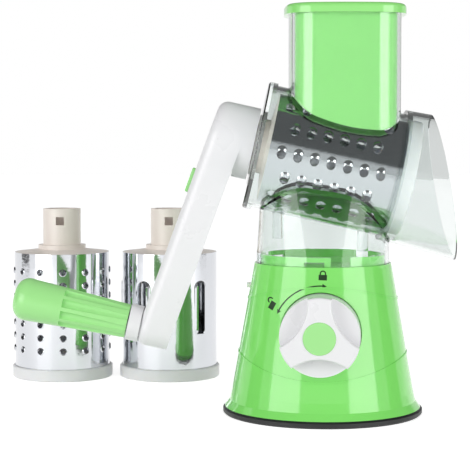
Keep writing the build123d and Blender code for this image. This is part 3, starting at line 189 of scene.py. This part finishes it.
def clear_styrene(name, colour):
    """Clear injection-moulded styrene: colourless, with a hard gloss and a faint flow ripple.

    Its IOR is below the real 1.57, so that the edges of the walls show as fine grey lines, and the lamps reach
    what is inside it, as they do through thin clear walls.
    """
    material, tree, output, place = new_material(name)
    shader = add_node(tree, "ShaderNodeBsdfPrincipled", Base_Color=hex_of(colour), IOR=1.42,
                      Normal=skin_bump(tree, place, 14, 0.03, 0.15))
    shader.inputs["Transmission Weight"].default_value = 1.0
    shader.inputs["Roughness"].default_value = 0.02
    through = add_node(tree, "ShaderNodeBsdfTransparent", Color=hex_of(colour))
    path = add_node(tree, "ShaderNodeLightPath")
    lit = add_node(tree, "ShaderNodeMixShader", i0=path.outputs["Is Shadow Ray"], i1=shader.outputs[0],
                   i2=through.outputs[0])
    finish_surface(tree, output, lit)
    return material


def frosted_polypropylene(name, colour):
    """Natural polypropylene: milky, lets some light through, satin skin."""
    material, tree, output, place = new_material(name)
    shader = add_node(tree, "ShaderNodeBsdfPrincipled",
                      Base_Color=mottled(tree, place, hex_of(colour), 8, 0.02),
                      Roughness=rough_from(tree, place, 3, 0.28, 0.4), Normal=skin_bump(tree, place, 2, 0.02))
    shader.inputs["Subsurface Weight"].default_value = 0.4
    shader.inputs["Subsurface Radius"].default_value = (0.004, 0.0036, 0.003)
    shader.inputs["Subsurface Scale"].default_value = 1.0
    finish_surface(tree, output, shader)
    return material


def polished_stainless(name, colour):
    """Polished stainless sheet: a near mirror with faint rolling marks and wiped patches."""
    material, tree, output, place = new_material(name)
    shader = add_node(tree, "ShaderNodeBsdfPrincipled", Base_Color=hex_of(colour), Metallic=1.0,
                      Roughness=rough_from(tree, place, 6, 0.05, 0.13),
                      Normal=skin_bump(tree, place, 5, 0.12, 0.4))
    finish_surface(tree, output, shader)
    return material


def zinc_steel(name, colour):
    """Zinc-plated steel wire and screws: grey metal with a dull grain."""
    material, tree, output, place = new_material(name)
    shader = add_node(tree, "ShaderNodeBsdfPrincipled",
                      Base_Color=mottled(tree, place, hex_of(colour), 2, 0.08),
                      Metallic=1.0, Roughness=rough_from(tree, place, 1, 0.25, 0.45))
    finish_surface(tree, output, shader)
    return material


def suction_rubber(name, colour):
    """Moulded black rubber: matt, with a fine grain and a soft sheen at its edge."""
    material, tree, output, place = new_material(name)
    shader = add_node(tree, "ShaderNodeBsdfPrincipled",
                      Base_Color=mottled(tree, place, hex_of(colour), 5, 0.15),
                      Roughness=rough_from(tree, place, 4, 0.38, 0.6), Normal=skin_bump(tree, place, 0.8, 0.03))
    finish_surface(tree, output, shader)
    return material


def printed_ink(name, colour):
    """Pad-printed ink: thin, dark and a little duller than the plastic under it."""
    material, tree, output, place = new_material(name)
    shader = add_node(tree, "ShaderNodeBsdfPrincipled",
                      Base_Color=mottled(tree, place, hex_of(colour), 1, 0.1),
                      Roughness=rough_from(tree, place, 1, 0.3, 0.45))
    finish_surface(tree, output, shader)
    return material


# ---------------------------------------------------------------- printed marks


def arc_strip(made, middle, radius, line, start, end, steps):
    """A flat line bent round a point, its angles counted from the right."""
    ends = [made.verts.new((middle[0] + r * math.cos(start), middle[1] + r * math.sin(start), 0))
            for r in (radius - line / 2, radius + line / 2)]
    bmesh.ops.spin(made, geom=[*ends, made.edges.new(ends)], cent=(*middle, 0), axis=(0, 0, 1),
                   angle=end - start, steps=steps)


def arrow_head(made, radius, angle, way, size):
    """A filled arrow head at an arc's end, pointing the way that the arc runs."""
    tip = angle + way * size / radius
    corners = [(radius, tip), (radius + size / 2, angle), (radius - size / 2, angle)]
    face = made.faces.new([made.verts.new((r * math.cos(a), r * math.sin(a), 0)) for r, a in corners])
    bmesh.ops.subdivide_edges(made, edges=list(face.edges), cuts=2, use_grid_fill=True)


def padlock(made, height, line, open_by):
    """A padlock sign standing on its foot: a filled body with a shackle, turned out when open."""
    body = height * LOCK_BODY
    bmesh.ops.create_grid(made, x_segments=6, y_segments=4, size=0.5,
                          matrix=Matrix.Diagonal((height * LOCK_WIDTH, body, 1, 1)))
    radius = height * SHACKLE_R
    hinge = (open_by * radius * SHACKLE_ASIDE, body / 2 + height * SHACKLE_LEG)
    arc_strip(made, hinge, radius, line, 0, math.pi, ARC_STEPS)
    for side, foot in ((-1, body / 2 + open_by * height * SHACKLE_LEG), (1, body / 2)):
        middle = Matrix.Translation((hinge[0] + side * radius, (hinge[1] + foot) / 2, 0))
        bmesh.ops.create_grid(made, x_segments=1, y_segments=2, size=0.5,
                              matrix=middle @ Matrix.Diagonal((line, hinge[1] - foot + line / 4, 1, 1)))


def print_skin(name, made, ink):
    """Lays a flat drawing on the base's cone round the knob, as a closed skin of ink."""
    for vert in made.verts:
        across, up = vert.co.x, vert.co.y
        height = KNOB_Z * MM + up
        cone = (CONE_TOP_R + (CONE_TOP_Z - height / MM) * CONE_SLOPE) * MM + INK_LIFT * MM
        out = math.sqrt(cone * cone - across * across)
        swing = math.radians(KNOB_SWING)
        vert.co = (across * math.cos(swing) - out * math.sin(swing),
                   -across * math.sin(swing) - out * math.cos(swing), height)
    bmesh.ops.remove_doubles(made, verts=made.verts, dist=0.01 * MM)
    bmesh.ops.recalc_face_normals(made, faces=made.faces)
    bmesh.ops.solidify(made, geom=list(made.faces), thickness=INK_T * MM)
    bmesh.ops.recalc_face_normals(made, faces=made.faces)
    mesh = bpy.data.meshes.new(name)
    made.to_mesh(mesh)
    made.free()
    mesh.materials.append(ink)
    skin = bpy.data.objects.new(name, mesh)
    bpy.context.scene.collection.objects.link(skin)
    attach(skin, "base")


# ---------------------------------------------------------------- settings


def swatch(name, description, code):
    """A colour setting with its default written as an sRGB hex code."""
    return bpy.props.FloatVectorProperty(name=name, description=description, subtype="COLOR", size=3,
                                         min=0, max=1, default=linear(code)[:3])


class GraterColours(bpy.types.PropertyGroup):
    """Colours of the finishes."""

    body_green: swatch("Body green", "High-gloss green of the base", "#86E66E")
    pusher_green: swatch("Pusher green", "Lighter green of the thin-walled pusher", "#96E781")
    grip_green: swatch("Grip green", "Satin green of the grip, the cap and the release button", "#A3E891")
    white: swatch("White", "White of the crank and the knob", "#ECECEE")
    cream: swatch("Cream", "Cream of the drum's hub", "#F3EAE2")
    frosted: swatch("Frosted", "Milky white of the drum's ring and small mouldings", "#F6F6F6")
    clear: swatch("Clear", "Tint of the clear housing", "#EEF2F1")
    steel: swatch("Steel", "Polished sheet of the drums", "#D2D4D8")
    zinc: swatch("Zinc", "Screws, pins and springs", "#A9ACB2")
    rubber: swatch("Rubber", "Suction pad", "#17181A")
    frame_grey: swatch("Frame grey", "Frame under the base", "#5B5D60")
    ink: swatch("Ink", "Marks printed round the knob", "#12350F")


class GraterMarks(bpy.types.PropertyGroup):
    """Sizes of the printed marks, in metres."""

    arc_radius: bpy.props.FloatProperty(name="Arc radius", description="Arrow's radius about the knob",
                                        default=0.0302, unit="LENGTH")
    line: bpy.props.FloatProperty(name="Line", description="Width of the printed line", default=0.0008,
                                  unit="LENGTH")
    lock: bpy.props.FloatProperty(name="Padlock", description="Height of each padlock sign", default=0.0062,
                                  unit="LENGTH")


class GraterStudio(bpy.types.PropertyGroup):
    """Light and camera."""

    softbox_power: bpy.props.FloatProperty(name="Softboxes", description="Power of each softbox", default=5.5,
                                           unit="POWER")
    ambient: bpy.props.FloatProperty(name="Ambient", description="Strength of the even light", default=0.47)
    lens: bpy.props.FloatProperty(name="Lens", description="Focal length for a 36 mm wide picture",
                                  default=119.9, subtype="DISTANCE_CAMERA")


# ---------------------------------------------------------------- operators


class GRATER_OT_green(bpy.types.Operator):
    """Dress the green mouldings"""

    bl_idname = "grater.green"
    bl_label = "Green mouldings"

    def execute(self, context):
        colours = context.scene.grater_colours
        dress(moulded_abs("Green gloss ABS", hex_of(colours.body_green), 0.12, 0.35), "base_shell")
        dress(moulded_abs("Pusher gloss ABS", hex_of(colours.pusher_green), 0.1, 0.35), "food_pusher")
        dress(moulded_abs("Green satin ABS", hex_of(colours.grip_green), 0.24, 0.0), "grip", "knob_cap",
              "release_button")
        return {"FINISHED"}


class GRATER_OT_white(bpy.types.Operator):
    """Dress the white crank and knob"""

    bl_idname = "grater.white"
    bl_label = "White mouldings"

    def execute(self, context):
        white = hex_of(context.scene.grater_colours.white)
        dress(moulded_abs("White ABS", white, 0.28, 0.0), "crank_outer_shell", "crank_inner_shell", "lock_knob")
        return {"FINISHED"}


class GRATER_OT_clear(bpy.types.Operator):
    """Dress the clear housing and its spout"""

    bl_idname = "grater.clear"
    bl_label = "Clear housing"

    def execute(self, context):
        dress(clear_styrene("Clear styrene", context.scene.grater_colours.clear), "housing_body",
              "discharge_spout")
        return {"FINISHED"}


class GRATER_OT_drums(bpy.types.Operator):
    """Dress the fitted drum and the two spare ones"""

    bl_idname = "grater.drums"
    bl_label = "Drums"

    def execute(self, context):
        colours = context.scene.grater_colours
        dress(polished_stainless("Polished stainless", colours.steel), "drum_cylinder", "spare_grater_cylinder",
              "spare_slicer_cylinder")
        dress(moulded_abs("Cream polypropylene", hex_of(colours.cream), 0.3, 0.0), "drum_hub",
              "spare_grater_hub", "spare_slicer_hub")
        dress(frosted_polypropylene("Frosted polypropylene", colours.frosted), "drum_ring", "spare_grater_ring",
              "spare_slicer_ring", "housing_lock_button")
        return {"FINISHED"}


class GRATER_OT_works(bpy.types.Operator):
    """Dress the pad, the suction linkage and the small metal"""

    bl_idname = "grater.works"
    bl_label = "Pad and works"

    def execute(self, context):
        colours = context.scene.grater_colours
        dress(suction_rubber("Suction rubber", colours.rubber), "suction_pad")
        dress(moulded_abs("Grey polypropylene", hex_of(colours.frame_grey), 0.45, 0.0), "suction_frame")
        dress(moulded_abs("Natural acetal", hex_of(colours.frosted), 0.35, 0.0), "lifter_yoke", "cam_shaft",
              "hub_bush", "latch_slider")
        dress(zinc_steel("Zinc-plated steel", colours.zinc), "pad_stud", "stud_pin", "return_spring",
              "frame_screws", "shaft_clip", "knob_screw", "housing_button_spring", "crank_screws",
              "latch_spring", "grip_spindle")
        return {"FINISHED"}


class GRATER_OT_marks(bpy.types.Operator):
    """Print the double arrow and the two padlocks round the knob"""

    bl_idname = "grater.marks"
    bl_label = "Printed marks"

    def execute(self, context):
        marks = context.scene.grater_marks
        ink = printed_ink("Printed ink", context.scene.grater_colours.ink)
        made = bmesh.new()
        release, lock = math.radians(RELEASE_AT), math.radians(LOCK_AT)
        arc_strip(made, (0, 0), marks.arc_radius, marks.line, lock, release, ARC_STEPS)
        for angle, way in ((lock, -1), (release, 1)):
            arrow_head(made, marks.arc_radius, angle, way, marks.line * HEAD_LINES)
        print_skin("knob_arrow", made, ink)
        for name, angle, reach, open_by in (("locked_sign", lock, SIGN_REACH, 0.0),
                                            ("unlocked_sign", release, SIGN_REACH, 1.0)):
            made = bmesh.new()
            padlock(made, marks.lock, marks.line, open_by)
            middle = (reach * math.cos(angle) * MM, reach * math.sin(angle) * MM, 0)
            turn = Matrix.Translation(middle) @ Matrix.Rotation(angle - math.radians(90), 4, "Z")
            bmesh.ops.transform(made, matrix=turn, verts=made.verts)
            print_skin(name, made, ink)
        return {"FINISHED"}


class GRATER_OT_stage(bpy.types.Operator):
    """Set the floor, the softboxes and the camera"""

    bl_idname = "grater.stage"
    bl_label = "Studio"

    def execute(self, context):
        studio = context.scene.grater_studio
        scene = context.scene
        scene.view_settings.view_transform = "Standard"
        set_world(scene, studio.ambient)
        set_floor()
        for name, side in (("Dark card left", -1), ("Dark card right", 1)):
            set_card(name, side)
        for name, azimuth, width in SOFTBOXES:
            set_softbox(name, math.radians(azimuth), width, studio.softbox_power)
        set_camera(scene, studio.lens)
        return {"FINISHED"}


def looked_at(tree):
    """1 where the camera looks, straight or through gloss or glass, and 0 for the light on a surface."""
    path = add_node(tree, "ShaderNodeLightPath")
    direct = add_node(tree, "ShaderNodeMath", {"operation": "MAXIMUM"}, i0=path.outputs["Is Camera Ray"],
                      i1=path.outputs["Is Transmission Ray"])
    return add_node(tree, "ShaderNodeMath", {"operation": "MAXIMUM"}, i0=direct.outputs[0],
                    i1=path.outputs["Is Glossy Ray"]).outputs[0]


def set_world(scene, ambient):
    """An even pale surround, white where the camera sees it."""
    world = bpy.data.worlds.new("Studio surround")
    world.use_nodes = True
    tree = world.node_tree
    tree.nodes.clear()
    sky = add_node(tree, "ShaderNodeTexCoord").outputs["Generated"]
    way = add_node(tree, "ShaderNodeSeparateXYZ", Vector=sky)
    studio = add_node(tree, "ShaderNodeMapRange", Value=way.outputs["Z"], From_Min=DARK_FROM,
                      From_Max=DARK_FROM + MIRROR_EDGE, To_Min=MIRROR_PALE, To_Max=DARK_CEILING)
    gloss = add_node(tree, "ShaderNodeMix", {"data_type": "RGBA"},
                     i0=add_node(tree, "ShaderNodeLightPath").outputs["Is Glossy Ray"],
                     i6=(1.0, 1.0, 1.0, 1.0), i7=studio.outputs[0])
    colour = add_node(tree, "ShaderNodeMix", {"data_type": "RGBA"}, i0=looked_at(tree),
                      i6=[ambient, ambient, ambient, 1.0], i7=gloss.outputs[2])
    background = add_node(tree, "ShaderNodeBackground", Color=colour.outputs[2], Strength=1.0)
    output = add_node(tree, "ShaderNodeOutputWorld")
    tree.links.new(background.outputs[0], output.inputs["Surface"])
    scene.world = world


def set_floor():
    """A plain pale floor that keeps the shadow and runs off to white."""
    mesh = bpy.data.meshes.new("floor")
    made = bmesh.new()
    bmesh.ops.create_grid(made, x_segments=1, y_segments=1, size=FLOOR_HALF)
    made.to_mesh(mesh)
    made.free()
    floor = bpy.data.objects.new("floor", mesh)
    bpy.context.scene.collection.objects.link(floor)
    material, tree, output, _ = new_material("Pale floor")
    shader = add_node(tree, "ShaderNodeBsdfPrincipled", Base_Color=linear("#F7F7F7"), Roughness=0.6)
    glow = add_node(tree, "ShaderNodeEmission", Color=(1.0, 1.0, 1.0, 1.0), Strength=FLOOR_GLOW)
    both = add_node(tree, "ShaderNodeAddShader", i0=shader.outputs[0], i1=glow.outputs[0])
    mix = add_node(tree, "ShaderNodeMixShader", i0=looked_at(tree), i1=shader.outputs[0], i2=both.outputs[0])
    finish_surface(tree, output, mix)
    mesh.materials.append(material)


def set_card(name, side):
    """A dark card beside the object that only gloss sees."""
    mesh = bpy.data.meshes.new(name)
    made = bmesh.new()
    stand = (Matrix.Translation((side * CARD_REACH, CARD_BEHIND, CARD_TALL / 2))
             @ Matrix.Rotation(math.radians(90), 4, "Y"))
    bmesh.ops.create_grid(made, x_segments=1, y_segments=1, size=0.5,
                          matrix=stand @ Matrix.Diagonal((CARD_TALL, CARD_WIDTH, 1, 1)))
    made.to_mesh(mesh)
    made.free()
    card = bpy.data.objects.new(name, mesh)
    card.visible_camera = card.visible_diffuse = card.visible_transmission = card.visible_shadow = False
    bpy.context.scene.collection.objects.link(card)
    material, tree, output, _ = new_material(name)
    dark = add_node(tree, "ShaderNodeEmission", Color=(0.03, 0.03, 0.03, 1.0), Strength=1.0)
    finish_surface(tree, output, dark)
    mesh.materials.append(material)


def set_softbox(name, azimuth, width, power):
    """A tall softbox at an azimuth from the camera's side, facing the object."""
    light = bpy.data.lights.new(name, "AREA")
    light.shape = "RECTANGLE"
    light.size = width
    light.size_y = SOFTBOX_TALL
    light.energy = power
    lamp = bpy.data.objects.new(name, light)
    lamp.location = (SOFTBOX_REACH * math.sin(azimuth), -SOFTBOX_REACH * math.cos(azimuth), SOFTBOX_Z)
    lamp.rotation_euler = (math.radians(90), 0, azimuth)
    lamp.visible_camera = False
    bpy.context.scene.collection.objects.link(lamp)


def set_camera(scene, lens):
    """The photograph's viewpoint: a long lens a metre away, tipped a little down."""
    data = bpy.data.cameras.new("Camera")
    data.lens = lens
    data.sensor_width = 36.0
    data.sensor_fit = "HORIZONTAL"
    camera = bpy.data.objects.new("Camera", data)
    camera.location = CAMERA_AT
    camera.rotation_euler = (math.radians(90 - CAMERA_DIP), 0, 0)
    scene.collection.objects.link(camera)
    scene.camera = camera


class GRATER_PT_panel(bpy.types.Panel):
    """Settings and steps of the grater"""

    bl_idname = "GRATER_PT_panel"
    bl_label = "Grater"
    bl_space_type = "VIEW_3D"
    bl_region_type = "UI"
    bl_category = "Grater"

    def draw(self, context):
        for group, kind in GROUPS.items():
            for name in kind.__annotations__:
                self.layout.prop(getattr(context.scene, group), name)
        for step in STEPS:
            self.layout.operator(step.bl_idname)


GROUPS = {"grater_colours": GraterColours, "grater_marks": GraterMarks, "grater_studio": GraterStudio}
STEPS = (GRATER_OT_green, GRATER_OT_white, GRATER_OT_clear, GRATER_OT_drums, GRATER_OT_works, GRATER_OT_marks,
         GRATER_OT_stage)


def register():
    for made in (*GROUPS.values(), *STEPS, GRATER_PT_panel):
        bpy.utils.register_class(made)
    for name, group in GROUPS.items():
        setattr(bpy.types.Scene, name, bpy.props.PointerProperty(type=group))


def unregister():
    for name in GROUPS:
        delattr(bpy.types.Scene, name)
    for made in (GRATER_PT_panel, *reversed(STEPS), *GROUPS.values()):
        bpy.utils.unregister_class(made)


def main():
    register()
    bpy.ops.grater.green()
    bpy.ops.grater.white()
    bpy.ops.grater.clear()
    bpy.ops.grater.drums()
    bpy.ops.grater.works()
    bpy.ops.grater.marks()
    bpy.ops.grater.stage()


if __name__ == "__main__":
    main()
